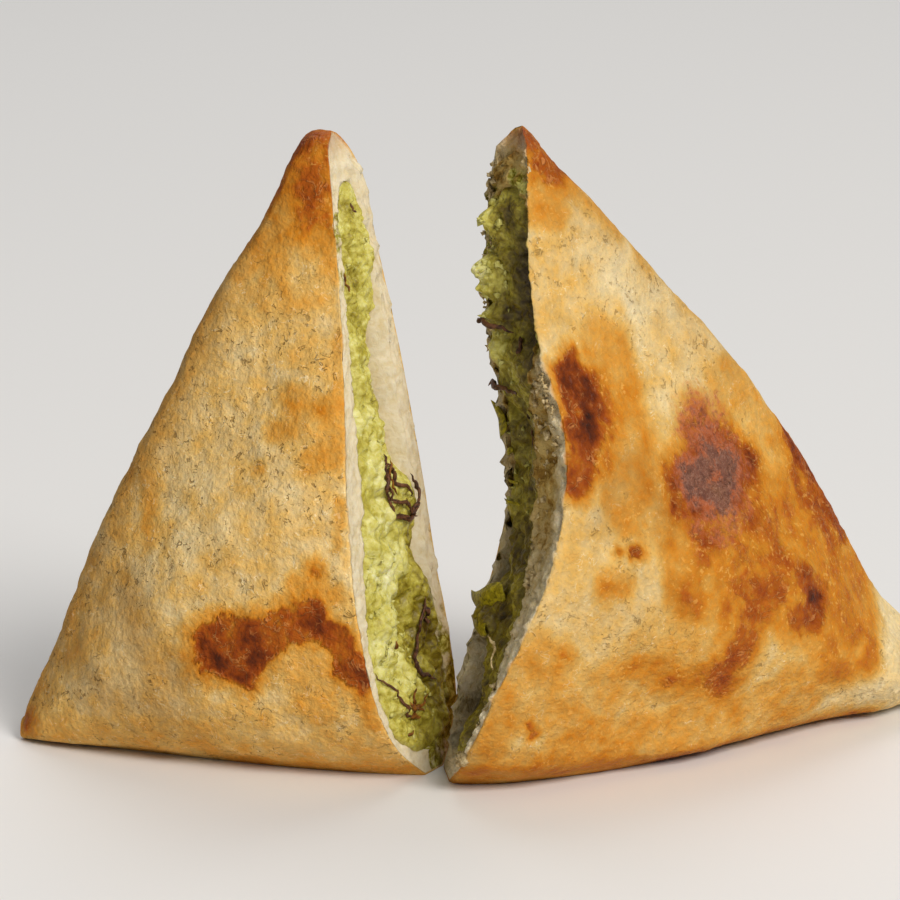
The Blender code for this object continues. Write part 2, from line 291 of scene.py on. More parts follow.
NEAR_MARKS["right"] = (
    ((10.4, 87.6, 12.4, 84.6, 15.6, 83.8), 2.8, 2.4, 0.66, 2.6),
    ((11.2, 81.8, 14, 81.2, 17.4, 80.8), 1.4, 3, 0.49, 3.4),
    ((10.4, 78.4, 13, 77.4), 1.6, 2.6, 0.46, 2.6),
    ((18, 79, 25, 73.6), 0.6, 2.6, 0.34, 2.2),
    ((9.6, 74, 9.4, 72), 0.1, 1.2, 0.26, 0.8),
    ((12.6, 56.8, 14, 54.8, 14.8, 51.6, 14, 49.4), 2.5, 1.7, 0.8, 2.4),
    ((11, 57, 11, 50.4), 1.9, 1.8, 0.71, 2),
    ((12.6, 49, 12, 46.2, 10.8, 43.4), 2.1, 1.6, 0.72, 2.4),
    ((17.4, 57, 18.2, 50, 15.8, 45), 1.6, 2.8, 0.53, 3.4),
    ((31, 41, 34.4, 42.2, 39, 42, 41.6, 40.6), 3.8, 1.8, 0.71, 3.4),
    ((29.6, 40.4, 30.4, 38.4), 1.5, 1.8, 0.78, 3.4),
    ((31, 37.6, 36, 36.8, 40.4, 37.4), 1.8, 2, 0.72, 3.4),
    ((34.6, 47.8, 35.4, 45.6), 2.1, 2.4, 0.62, 3.2),
    ((32.8, 45.6, 38.8, 45), 2.4, 2, 0.66, 3.2),
    ((30.6, 33.4, 36, 32.4, 42.4, 33.6), 2.2, 3, 0.61, 4.6),
    ((44, 41.6, 44.4, 38), 1.4, 2.2, 0.64, 3.6),
    ((26.8, 42, 27, 38), 1.2, 2.2, 0.66, 4.2),
    ((28.4, 37.4, 29.4, 33.4, 33, 31.6), 1.6, 2.6, 0.6, 4),
    ((37, 29.4, 45, 28.2), 2.2, 3, 0.57, 4.6),
    ((44, 32, 46.4, 26), 2, 3, 0.57, 4.4),
    ((33, 27, 34, 22), 1.8, 3, 0.5, 4),
    ((37.6, 25.4, 42.8, 24.2), 2.4, 2.4, 0.61, 4.2),
    ((39.6, 22, 37.4, 18.2), 2.6, 3, 0.6, 4.2),
    ((36.4, 15.8, 34.4, 13.4, 35.6, 12), 2.8, 2.6, 0.6, 4),
    ((30.4, 13, 25.6, 13.8), 1.8, 2.4, 0.55, 3.4),
    ((26, 16.5, 19, 16.6), 1.2, 2, 0.48, 2.4),
    ((50.2, 21.7, 52.8, 21.4), 1.1, 1.5, 0.86, 2),
    ((47.6, 19.4, 50.4, 19, 50.8, 22.6, 49.2, 24.2), 2.6, 2, 0.66, 4.4),
    ((52.8, 19.4, 54, 22.6), 1.3, 2, 0.62, 3.4),
    ((53.8, 42, 56.8, 37.8, 59.8, 33.2, 62.4, 28), 2.4, 2.6, 0.71, 3.8),
    ((53, 36, 56.6, 31, 59, 26), 2.6, 3.8, 0.6, 4.6),
    ((49.6, 45, 52.4, 41), 0.8, 2.6, 0.46, 3),
    ((57, 24, 59.4, 20, 60, 15), 2.2, 3, 0.56, 2.6),
    ((46, 35, 50, 30), 2.2, 3.6, 0.53, 4.6),
    ((52, 13.6, 56, 10.4), 1.4, 2.4, 0.51, 3.2),
    ((18.7, 33.2, 19.6, 32.9), 0.8, 0.7, 0.66, 1.6),
    ((16.6, 33.3), 0.6, 0.7, 0.6, 1.4),
    ((20.8, 36.4), 0.3, 0.6, 0.52, 1.2),
    ((13.6, 29.4, 16.6, 29), 1.5, 1.4, 0.47, 2.2),
    ((3.4, 20.2, 5.4, 18), 1.2, 1.8, 0.46, 2.2),
    ((8.4, 20.4, 10, 19), 1, 1.5, 0.46, 2),
    ((1, 15, 2.4, 11), 1.3, 2.4, 0.46, 2.4),
    ((5, 11, 6, 9), 0.5, 0.9, 0.54, 1.6),
    ((8, 13.6, 12, 11.4), 1.4, 2.4, 0.43, 2.4),
    ((14, 9.6, 17, 8.4), 1, 1.4, 0.46, 2),
    ((20, 17, 23, 15), 1.1, 2, 0.47, 2.4),
    ((17, 6, 22, 5), 1, 2, 0.46, 2.2),
    ((0, 1.6, 14, 1.6, 26, 1), 1, 2.4, 0.53, 2.4),
    ((28, 1, 40, 0.8), 1.4, 1.8, 0.58, 2.4),
    ((40, 2, 66, 0.8), 0.8, 2, 0.54, 2.4),
)
FAR_MARKS = {}
FAR_MARKS["left"] = (
    ((13, 86, 17, 82), 2, 3.5, 0.62, 4),
    ((23, 41, 27, 36, 26.6, 31), 2.8, 1.8, 0.66, 4),
    ((29, 38.6, 33, 35), 1.6, 2.4, 0.6, 4),
    ((12, 20, 15, 18.4, 21, 17), 2, 2.2, 0.56, 4),
    ((18, 13, 23, 11), 1.2, 2.4, 0.5, 3),
    ((44, 14), 3, 3, 0.5, 3),
    ((14, 60), 2, 3, 0.42, 3),
    ((2, 2, 50, 1), 0.6, 2.6, 0.48, 2),
)
FAR_MARKS["right"] = (
    ((12, 86, 18, 80), 2, 3, 0.64, 3),
    ((24, 52, 27, 47.6, 26, 43), 2.9, 1.8, 0.69, 4),
    ((29.6, 50, 33, 46.6), 1.6, 2.6, 0.6, 4),
    ((50, 25, 55, 23, 60, 18), 2.8, 2.4, 0.63, 4),
    ((55, 28, 51, 20), 1.4, 2.6, 0.56, 3),
    ((16, 22, 21, 19.4, 23, 14), 1.8, 2.8, 0.52, 3),
    ((40, 34), 2.2, 3, 0.44, 3),
    ((0, 2, 76, 1), 0.8, 2.6, 0.5, 2),
)
# Burnt places: (path, radius, edge, strength), a dusty ring and an ashen middle.
ASH_MARKS = {}
ASH_MARKS["left"] = ()
ASH_MARKS["right"] = (
    ((34.8, 47.4, 35.6, 44, 35.4, 36.4), 4.8, 5, 0.42),
    ((31.4, 34.8, 41, 35), 1.8, 4, 0.36),
    ((31.8, 40.8, 35, 42, 38.8, 40.6, 36.6, 38, 33.4, 38.2), 2.7, 6, 1),
)
# Evenly baked areas: (path, radius, edge, heat); the rest is at the first heat.
BAKED_AREAS = {}
BAKED_AREAS["left"] = (
    0.21,
    ((8, 40, 10, 56, 11, 66), 2, 6, 0.24),
    ((14, 80, 20, 72), 5, 9, 0.34),
    ((22, 72, 32, 56, 44, 32, 56, 6), 1, 6, 0.25),
    ((27, 26, 18, 30), 1, 5, 0.22),
    ((6, 20, 16, 12, 22, 10), 2, 5, 0.27),
    ((4, 4, 30, 4, 56, 3), 1.6, 4, 0.3),
)
BAKED_AREAS["right"] = (
    0.13,
    ((19, 58, 21.4, 48, 19, 40), 3.4, 5, 0.39),
    ((24, 47, 26, 37), 2.2, 5, 0.35),
    ((8, 73, 11, 67, 13, 62), 3, 5, 0.24),
    ((12, 38, 8, 28, 16, 26, 28, 24), 7, 6, 0.23),
    ((30, 57, 46, 50), 2, 6, 0.22),
    ((4, 16, 16, 13, 28, 16), 4, 6, 0.34),
    ((6, 4, 30, 6, 50, 8), 3, 5, 0.36),
    ((0, 2, 12, 4, 24, 2), 2, 3, 0.45),
    ((34, 30, 46, 31, 54, 32, 57, 24, 58, 16), 5, 7, 0.49),
    ((16, 80, 30, 70, 42, 58, 52, 46), 1, 4, 0.26),
    ((42, 50, 47, 42, 50, 34), 3, 5, 0.34),
    ((66, 14, 76, 6), 5, 5, 0.1),
    ((0, 6, 2, 10, 1, 16), 2, 4, 0.36),
    ((39, 14, 47, 12), 2, 4, 0.26),
)
# Painted shade along the sloping silhouettes and low edges, where the crust turns from the light, and a few
# dull, dirty patches: (path, radius, edge, strength).
DULL_AND_SHADED_EDGES = {}
DULL_AND_SHADED_EDGES["left"] = (
    ((17, 90, 31, 61, 41, 40, 50, 20, 59, 4), 2, 11, 1.1),
    ((44, 24, 50, 14, 44, 10, 34, 9), 4, 12, 0.7),
    ((41, 25, 38, 16, 32, 14), 3, 9, 0.9),
)
DULL_AND_SHADED_EDGES["right"] = (
    ((26, 0, 42, 0), 1, 2.5, 0.4),
    ((14, 38, 20, 44, 25, 37), 2, 8, 0.6),
    ((18, 78, 30, 66, 42, 54), 3, 12, 0.35),
    ((20, 30, 26, 24, 14, 26), 2, 8, 0.25),
)
# Where the near rim fell back: (height, depth, spread).
RIM_SCOOPS = {"left": (), "right": ((68.0, 2.6, 8.0), (74.0, 1.0, 3.0))}
# How far the top of the cut fell back behind the near rim, over what height and reach.
TIP_PULL = {"left": 1.5, "right": 1.6}
TIP_SPAN, TIP_REACH = 4.5, 7.0
# Share of the crumb that is browned at the very top of the cut.
TIP_BROWN = {"left": 0.35, "right": 0.75}
# How rough the crumb is, and how ragged the near and the far rim are torn.
TEARS = {"left": (0.26, 0.22, 0.42), "right": (0.60, 0.60, 0.85)}
# Mash smeared on the rim and the wall: (height, spread, face, share).
SMEARS = {}
SMEARS["left"] = ((72, 6, "near", 0.5), (9, 12, "far", 0.7))
SMEARS["right"] = (
    (68, 9, "near", 1),
    (68, 14, "far", 0.7),
    (22, 10, "far", 0.15),
    (81.5, 2, "near", 0.6),
)
FOLD_BLEND = 1.1            # half the width over which the two faces' marks meet
CORE_RAGGED, CORE_BROAD = (0.36, 1.1), (0.9, 5.0)
SOFT_POWER = 6
MOTTLE, MOTTLE_LOSS, MOTTLE_SIZE = 0.40, 0.45, 4.6
SPECKLE, SPECKLE_SIZE = 0.045, 2.6
CRACK_DEPTH, CRACK_WIDTH, CRACK_SIZE = 0.05, 0.18, 1.7


def lattice_numbers(cell, seed):
    """Three numbers in -1..1 for each whole cell, from mixed bits of its place."""
    cell = cell.astype(np.int64).astype(np.uint64)
    mixed_bits = np.full(cell.shape[:-1], seed * 2654435761 % 2**32, np.uint64)
    for axis, prime in enumerate(PRIMES):
        mixed_bits ^= cell[..., axis] * np.uint64(prime) & LOW_BITS
    numbers = []
    for _ in range(3):
        for shift, factor in ((15, 2246822519), (13, 3266489917)):
            mixed_bits = (mixed_bits ^ (mixed_bits >> np.uint64(shift))) * np.uint64(factor) & LOW_BITS
        numbers.append(mixed_bits / 2147483647.5 - 1.0)
    return np.stack(numbers, -1)


def grain(points, size, seed=1):
    """Gradient noise of about -1..1 in cells of the given size or sizes."""
    cell = points / np.asarray(size, float)
    base = np.floor(cell)
    f = cell - base
    ease = f * f * f * (f * (f * 6 - 15) + 10)
    total = 0.0
    for corner in np.ndindex(2, 2, 2):
        corner = np.array(corner)
        slope = lattice_numbers(base + corner, seed)
        weight = np.where(corner, ease, 1.0 - ease).prod(-1)
        total = total + weight * (slope * (f - corner)).sum(-1)
    return total * 1.8


def layered(points, size, layers, seed=1, fade=0.5):
    """Sum of grain at sizes that halve, each fainter by the fade."""
    return sum(fade**k * grain(points, np.asarray(size) / 2**k, seed + 7 * k) for k in range(layers))


def pebbles(points, size, seed=1):
    """Round lumps 0..1: one ball in each cell, at a random place and radius."""
    cell = points / size
    base = np.floor(cell)
    best = np.zeros(points.shape[:-1])
    for step in np.ndindex(3, 3, 3):
        corner = base + np.array(step) - 1
        jitter = lattice_numbers(corner, seed)
        middle = corner + 0.5 + 0.42 * jitter
        radius = 0.62 + 0.2 * jitter[..., 0]
        gap = ((cell - middle) ** 2).sum(-1) / radius**2
        best = np.maximum(best, np.sqrt(np.clip(1.0 - gap, 0.0, 1.0)) * radius)
    return best / 0.82


def stroke_distance(path, across, up):
    """Least distance from each place to a path of straight runs, all in mm."""
    best = np.full(np.shape(across), np.inf)
    path = np.array(path, float).reshape(-1, 2)
    if len(path) == 1:
        path = np.repeat(path, 2, 0)
    for (x0, y0), (x1, y1) in zip(path, path[1:]):
        dx, dy = x1 - x0, y1 - y0
        t = np.clip(((across - x0) * dx + (up - y0) * dy) / max(dx * dx + dy * dy, 1e-6), 0, 1)
        best = np.minimum(best, np.hypot(across - x0 - t * dx, up - y0 - t * dy))
    return best


def marked(marks, across, up, points, seed):
    """Heat of the marks and halos at each place: a soft maximum, the 6th root of
    the sum of 6th powers, with ragged edges."""
    broad = CORE_BROAD[0] * layered(points, CORE_BROAD[1], 3, seed, 0.6)
    ragged = CORE_RAGGED[0] * layered(points, CORE_RAGGED[1], 3, seed + 1, 0.75)
    patches = 1.0 + 0.10 * layered(points, 3.0, 3, seed + 2, 0.6)
    total = np.zeros(np.shape(across))
    for path, radius, edge, heat, halo in marks:
        gap = stroke_distance(path, across, up) + broad * min(1.0, 0.25 + radius / 4) + ragged
        core = heat * patches * (1.0 - eased(gap, radius - 0.8 * edge, radius + 1.5 * edge))
        rim = (0.23 + 0.34 * heat) * np.exp(-((np.maximum(gap - radius, 0.0) / halo) ** 1.3))
        total = total + np.maximum(core, rim) ** SOFT_POWER
    return total ** (1.0 / SOFT_POWER)


def evenly_baked(areas, across, up, points, seed):
    """Slowly varying heat outside the marks."""
    broad = 3.0 * layered(points, 14.0, 3, seed, 0.6)
    least = areas[0]
    total = np.full(np.shape(across), least)
    for path, radius, edge, heat in areas[1:]:
        gap = stroke_distance(path, across, up) + broad
        total = np.maximum(total, least + (heat - least) * (1.0 - eased(gap, radius, radius + edge)))
    return total


def faded_strokes(strokes, across, up, sway):
    """Strongest of several strokes, each fading across its edge; sway shifts the edges."""
    total = np.zeros(np.shape(across))
    for path, radius, edge, strength in strokes:
        gap = stroke_distance(path, across, up) + sway
        total = np.maximum(total, strength * (1.0 - eased(gap, radius - edge / 2, radius + edge / 2)))
    return total


def dough_surface(half):
    """Grid of the dough, rows by ring, and how far in from the skin each place is.

    Rows run over the rounded corner, along the skin to the cut, across the rim
    and into the pocket.
    """
    skin = ring(half, np.linspace(CORNER_PLACE, 0.0, SKIN_ROWS), DOUGH_STEPS)
    middle = skin[0].mean(0)
    swing = np.linspace(math.pi / 2, 0.0, CAP_ROWS + 1)[:-1, None, None]
    cap = middle + (skin[:1] - middle) * np.cos(swing)
    cap = cap + np.array([CORNER_BULGE, 0.0, 0.0]) * np.sin(swing)
    inner = ring(half, np.linspace(0.0, half["pocket"][2], POCKET_ROWS), DOUGH_STEPS, True)
    f = np.linspace(0.0, 1.0, RIM_ROWS + 2)[1:-1]
    rim = skin[-1] + (inner[0] - skin[-1]) * f[:, None, None]
    close = inner[-1].mean(0) + np.array([POCKET_BULGE, 0.0, 0.0]) + 0.0 * inner[-1:]
    local = np.concatenate([cap, skin, rim, inner, close])
    in_rim = np.concatenate([np.zeros(CAP_ROWS + SKIN_ROWS), f, np.ones(POCKET_ROWS + 1)])
    thickness = np.linalg.norm(inner[0] - skin[-1], axis=-1)
    return local, in_rim[:, None] * thickness[None]


def surface_normals(points, side):
    """Unit normals of a grid that closes in its second direction."""
    around = np.roll(points, -1, 1) - np.roll(points, 1, 1)
    down = np.gradient(points, axis=0)
    normal = np.cross(down, around) * side
    return normal / np.maximum(np.linalg.norm(normal, axis=-1, keepdims=True), 1e-9)


def closed_grid_faces(rows, columns):
    """Quads of a grid whose last column meets its first."""
    index = np.arange(rows * columns).reshape(rows, columns)
    right = np.roll(index, -1, 1)
    return np.stack([index[:-1], right[:-1], right[1:], index[1:]], -1).reshape(-1, 4)


def inside_box(points):
    """Points held inside the model's box, a hair in from it."""
    low, high = (np.array(corner) / MM for corner in cad_box)
    return np.clip(points, low + 0.001, high - 0.001)


def new_object(name, data):
    """New object in the scene that holds the data."""
    made = bpy.data.objects.new(name, data)
    bpy.context.scene.collection.objects.link(made)
    return made


def make_piece(name, points, faces, material, slot, fields={}, nodes=()):
    """Closed mesh from points in mm, its fields as point attributes, riding on the root."""
    mesh = bpy.data.meshes.new(name)
    mesh.from_pydata((inside_box(points.reshape(-1, 3)) * MM).tolist(), [], faces.tolist())
    for field, values in fields.items():
        attribute = mesh.attributes.new(field, "FLOAT", "POINT")
        attribute.data.foreach_set("value", np.ascontiguousarray(values, np.float32).ravel())
    grid = bmesh.new()
    grid.from_mesh(mesh)
    bmesh.ops.remove_doubles(grid, verts=grid.verts, dist=1e-6)
    bmesh.ops.recalc_face_normals(grid, faces=grid.faces)
    grid.to_mesh(mesh)
    grid.free()
    mesh.shade_smooth()
    mesh.materials.append(material)
    piece = new_object(name, mesh)
    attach(piece, "root")
    if nodes:
        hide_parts(*nodes)


def skin_relief(half, points, up, heat, crumb, to_cut, seed):
    """Height of the skin over its smooth form: waves, ripples and raised blisters
    less cracks, blended into lumps where the crumb is torn."""
    blister = eased(heat, 0.45, 0.7)
    crack = np.abs(layered(points, CRACK_SIZE, 2, seed + 21))
    relief = 0.50 * layered(points, 13.0, 3, seed + 13, 0.5)
    relief += 0.12 * layered(points, 3.4, 3, seed + 17, 0.55)
    relief += blister * (0.28 + 0.16 * layered(points, 2.0, 3, seed + 19, 0.6))
    relief -= CRACK_DEPTH * (1.0 - eased(crack, 0.0, CRACK_WIDTH))
    relief *= 0.25 + 0.75 * eased(to_cut, 0.0, 1.4)
    torn = 0.5 * layered(points, 2.2, 4, seed + 23, 0.62) + 0.16 * pebbles(points, 1.1, seed + 25)
    relief = relief * (1.0 - crumb) + crumb * TEARS[half["name"]][0] * torn
    return relief * eased(up, 0.0, 1.6)


def rim_setback(half, points, local, inward, to_cut, seed):
    """How far the rim lies behind the plane of the cut: scoops, the drawn-back tip
    and what is left after torn edges that stand proud."""
    depth, up = local[..., 1], local[..., 2]
    near = depth < 0.0
    _, near_tear, far_tear = TEARS[half["name"]]
    jags = layered(points, 2.6, 4, seed + 29, 0.7) + 0.5 * pebbles(points, 1.3, seed + 31)
    scoops = sum(bell(up, *scoop) for scoop in RIM_SCOOPS[half["name"]])
    back = near * scoops * eased(inward, 0.2, 1.4) - np.where(near, near_tear, far_tear) * jags
    back = eased(inward, 0.0, 0.6) * back * eased(up, 1.0, 4.0)
    pull = bell(up, edge_height(half, 0.0), TIP_PULL[half["name"]], TIP_SPAN)
    return back + pull * eased(depth, -2.6, 1.4) * np.exp(-((to_cut / TIP_REACH) ** 2))


def make_dough(half, material):
    """Skin, rim and pocket of one half, with its relief and browning."""
    name = half["name"]
    seed = DOUGH_SEEDS[name]
    local, inward = dough_surface(half)
    across, depth, up = np.moveaxis(local, -1, 0)
    points = placed(half, local)
    to_cut = np.linalg.norm(local - local[CAP_ROWS + SKIN_ROWS - 1], axis=-1)
    apex = edge_height(half, 0.0)
    facing = eased(-depth, -FOLD_BLEND, FOLD_BLEND)

    heat = facing * marked(NEAR_MARKS[name], across, up, points, seed)
    heat = heat + (1.0 - facing) * marked(FAR_MARKS[name], across, up, points, seed + 3)
    base = evenly_baked(BAKED_AREAS[name], across, up, points, seed + 5)
    mottle = layered(points, MOTTLE_SIZE, 3, seed + 7, 0.6)
    toast = np.maximum(heat, base * (1.0 + (MOTTLE - MOTTLE_LOSS * base) * mottle))
    toast = toast + SPECKLE * layered(points, SPECKLE_SIZE, 3, seed + 9, 0.6) * (0.3 + heat)
    ash_sway = 1.2 * layered(points, 3.0, 4, seed + 2, 0.6)
    dull_and_shade_sway = 0.8 * layered(points, 6.0, 2, seed + 4, 0.6)
    crumb = eased(inward, SKIN_THICKNESS * 0.5, SKIN_THICKNESS * 1.3)
    crumb = crumb * (1.0 - TIP_BROWN[name] * eased(up, apex - 4.5, apex - 0.5))
    smear = np.zeros_like(toast)
    for middle, tall, face, size in SMEARS[name]:
        side = (depth < 0.0) == (face == "near")
        smear = np.maximum(smear, side * size * np.exp(-(((up - middle) / tall) ** 4)))

    relief = skin_relief(half, points, up, heat, crumb, to_cut, seed)
    points = points + surface_normals(points, half["side"]) * relief[..., None]
    back = rim_setback(half, points, local, inward, to_cut, seed)
    points = points - facing_of(half) * back[..., None]
    fields = {
        "toast": toast,
        "ash": facing * faded_strokes(ASH_MARKS[name], across, up, ash_sway),
        # painted shade along silhouettes and low edges, with some dull patches
        "dull_and_shade": facing * faded_strokes(DULL_AND_SHADED_EDGES[name], across, up, dull_and_shade_sway),
        "crumb": crumb,
        "smear": smear,
        # painted shade weight on the crumb: stronger high up and deeper in from the skin
        "painted_shade": (0.30 + 0.80 * eased(up, 24.0, 42.0)) * (0.20 + 0.80 * eased(inward, 0.8, 4.0)),
    }
    faces = closed_grid_faces(*points.shape[:2])
    make_piece(name + "_shell", points, faces, material, name + "_baked_dough", fields, [name + "_dough"])


def facing_of(half):
    """Direction in which the cut face looks."""
    turn = math.radians(half["turn"])
    return -np.array([half["side"] * math.cos(turn), math.sin(turn), 0.0])


def colour(red, green, blue):
    """Linear colour from display values of 0 to 255."""
    values = np.array([red, green, blue]) / 255.0
    linear = np.where(values <= 0.04045, values / 12.92, ((values + 0.055) / 1.055) ** 2.4)
    return (*linear.tolist(), 1.0)


class Wire:
    """Output in a node tree; +, - and * with a number or another one add Math nodes."""

    def __init__(self, socket):
        self.socket = socket
        self.tree = socket.id_data

    def __add__(self, other):
        return maths("ADD", self, other)

    def __mul__(self, other):
        return maths("MULTIPLY", self, other)

    def __sub__(self, other):
        return maths("SUBTRACT", self, other)

    def __rsub__(self, other):
        return maths("SUBTRACT", other, self)

    __radd__, __rmul__ = __add__, __mul__


def plug(made, feeds):
    """Numbers, colours or wires put into a node's inputs."""
    for key, value in feeds.items():
        if isinstance(value, Wire):
            value.tree.links.new(value.socket, made.inputs[key])
        else:
            made.inputs[key].default_value = value


def node(tree, kind, feeds, output=0, **settings):
    """One output of a new shader node with the given inputs and settings."""
    made = tree.nodes.new("ShaderNode" + kind)
    for setting, value in settings.items():
        setattr(made, setting, value)
    plug(made, feeds)
    return Wire(made.outputs[output])


def maths(operation, first, second=0.0, clamp=False):
    """Result of a Math node."""
    tree = (first if isinstance(first, Wire) else second).tree
    return node(tree, "Math", {0: first, 1: second}, operation=operation, use_clamp=clamp)


def ranged(value, start, end, low=0.0, high=1.0):
    """Result of a clamped, smooth Map Range node."""
    feeds = {0: value, 1: start, 2: end, 3: low, 4: high}
    return node(value.tree, "MapRange", feeds, interpolation_type="SMOOTHSTEP")


def mixed(share, first, second, blend="MIX"):
    """Result of a colour Mix node."""
    tree = (share if isinstance(share, Wire) else first).tree
    return node(tree, "Mix", {0: share, 6: first, 7: second}, 2, data_type="RGBA", blend_type=blend)


def noise(tree, scale, detail=2.0, roughness=0.5, distortion=0.0):
    """Noise value on Object coordinates, scale in cells per metre."""
    feeds = {"Vector": node(tree, "TexCoord", {}, "Object"), "Scale": scale, "Detail": detail}
    feeds.update({"Roughness": roughness, "Distortion": distortion})
    return node(tree, "TexNoise", feeds)


def thin_lines(value, middle, half_width):
    """Lines of the given half width where a noise value crosses its middle."""
    return ranged(maths("ABSOLUTE", value - middle), half_width, half_width * 0.3)


def ramp(value, *stops):
    """Colour ramp through stops of (place, red, green, blue)."""
    shade = node(value.tree, "ValToRGB", {0: value})
    elements = shade.socket.node.color_ramp.elements
    while len(elements) < len(stops):
        elements.new(1.0)
    for element, (place, *rgb) in zip(elements, stops):
        element.position = place
        element.color = colour(*rgb)
    return shade


def bump(height, strength, distance):
    """Normal of a height."""
    return node(height.tree, "Bump", {"Height": height, "Strength": strength, "Distance": distance})


def new_group(name, inputs, outputs):
    """Node group of floats and a Color: its tree, its inputs as wires, its output node."""
    tree = bpy.data.node_groups.new(name, "ShaderNodeTree")
    for way, labels in (("INPUT", inputs), ("OUTPUT", outputs)):
        for label in labels:
            kind = "NodeSocketColor" if label == "Color" else "NodeSocketFloat"
            tree.interface.new_socket(label, in_out=way, socket_type=kind)
    given = tree.nodes.new("NodeGroupInput").outputs
    return tree, {label: Wire(given[label]) for label in inputs}, tree.nodes.new("NodeGroupOutput")


def group(tree, name, feeds):
    """Outputs of a node group placed in a material, keyed by label."""
    first = node(tree, "Group", feeds, node_tree=bpy.data.node_groups[name])
    return {socket.name: Wire(socket) for socket in first.socket.node.outputs}


def field(tree, label):
    """Value that the mesh carries at its points."""
    return node(tree, "Attribute", {}, "Fac", attribute_name=label)


def new_material(name):
    """New material, its node tree and its shader."""
    material = bpy.data.materials.new(name)
    material.use_nodes = True
    return material, material.node_tree, material.node_tree.nodes["Principled BSDF"]


def crust_group():
    """Colour, roughness and height of a baked crust for a given toast and ash."""
    inputs = ("Toast", "Ash", "Dull_and_shade", "Cracks", "Painted_shade_tone")
    tree, given, result = new_group("baked_crust", inputs, ("Color", "Roughness", "Height"))
    heat = given["Toast"]

    # Uneven toasting, livelier where the crust is hotter.
    cloud = noise(tree, 150.0, 3.0, 0.55)
    patch = noise(tree, 420.0, 3.0, 0.55)
    fine = noise(tree, 1400.0, 2.0, 0.55)
    shift = 0.16 * (cloud - 0.5) + 0.30 * (patch - 0.5) + 0.16 * (fine - 0.5)
    browned = ranged(heat, 0.46, 0.64)
    toast = heat + shift * (heat + 0.35 + 0.5 * browned)
    shade = ramp(
        toast,
        (0.02, 240, 224, 184),
        (0.14, 235, 207, 149),
        (0.26, 226, 181, 100),
        (0.38, 218, 156, 64),
        (0.48, 206, 131, 32),
        (0.60, 177, 93, 18),
        (0.72, 150, 68, 13),
        (0.84, 108, 44, 8),
        (1.00, 48, 26, 18),
    )

    # Dark scribbles, grit and light flecks where it is pale.
    pale = ranged(heat, 0.44, 0.26)
    cluster = ranged(noise(tree, 130.0, 3.0, 0.6), 0.42, 0.58)
    short = ranged(noise(tree, 900.0), 0.52, 0.62)
    hook = thin_lines(noise(tree, 500.0, distortion=1.2), 0.5, 0.036)
    hook = hook * short * (cluster + 0.25) * given["Cracks"] * pale
    grit = ranged(noise(tree, 2600.0), 0.62, 0.70) * cluster * given["Cracks"] * pale
    dirt = maths("MULTIPLY", maths("MAXIMUM", hook, grit), 0.60, True)
    shade = mixed(dirt, shade, colour(152, 116, 60))
    fleck = thin_lines(noise(tree, 500.0, distortion=1.5), 0.46, 0.022)
    fleck = fleck * ranged(noise(tree, 700.0), 0.50, 0.62) * pale * 0.5
    shade = mixed(fleck, shade, colour(248, 232, 190))

    # Fine light and dark grain all over, scaled by a tone that darkens the whole crust as painted shade.
    value = ranged(0.6 * fine + 0.4 * patch, 0.34, 0.66, 0.87, 1.13) * given["Painted_shade_tone"]
    grey = node(tree, "CombineColor", {0: value, 1: value, 2: value})
    shade = mixed(1.0, shade, grey, "MULTIPLY")

    # Golden flakes on toasted crust, partly painted glints, and pale wrinkled strands with painted
    # highlights on browned crust.
    golden = ranged(heat, 0.34, 0.44) * ranged(heat, 0.70, 0.58)
    flake_and_glint = ranged(noise(tree, 1700.0, distortion=0.3), 0.58, 0.66)
    flake_and_glint = flake_and_glint * golden * ranged(noise(tree, 260.0, 3.0, 0.6), 0.42, 0.56) * 0.36
    shade = mixed(flake_and_glint, shade, colour(238, 182, 94))
    wrinkle = noise(tree, 560.0, distortion=0.9)
    # Painted highlights on the wrinkle ridges.
    strand = thin_lines(wrinkle, 0.48, 0.04) * ranged(noise(tree, 300.0, 3.0, 0.6), 0.42, 0.56)
    strand = strand * browned * ranged(heat, 0.80, 0.72)
    shade = mixed(0.50 * strand, shade, colour(208, 140, 78))
    # Painted shade at the silhouettes and low edges, and dull patches, multiplied into the crust.
    shade = mixed(given["Dull_and_shade"], shade, colour(196, 178, 150), "MULTIPLY")

    # Dusty ring and ashen, pitted middle of a burnt place.
    ash = given["Ash"] + 0.8 * (fine + (patch - 0.5) - 0.5)
    ash = ash * ranged(given["Ash"], 0.0, 0.2)
    dusty = mixed(ranged(ash, 0.42, 0.85), colour(172, 94, 58), colour(114, 76, 62))
    web = thin_lines(noise(tree, 1300.0, distortion=1.4), 0.5, 0.045)
    dusty = mixed(0.26 * web, dusty, colour(190, 152, 130))
    pit = ranged(noise(tree, 800.0, 3.0, 0.6, 0.8), 0.52, 0.38)
    dusty = mixed(0.6 * pit, dusty, colour(84, 54, 46))

    height = 0.55 * patch + 0.6 * fine - 0.35 * hook + 0.3 * strand + 0.9 * (wrinkle * browned)
    finish = {"Color": mixed(ranged(ash, 0.05, 0.65, 0.0, 0.9), shade, dusty)}
    finish.update({"Roughness": ranged(toast, 0.2, 0.8, 0.68, 0.46), "Height": height})
    plug(result, finish)


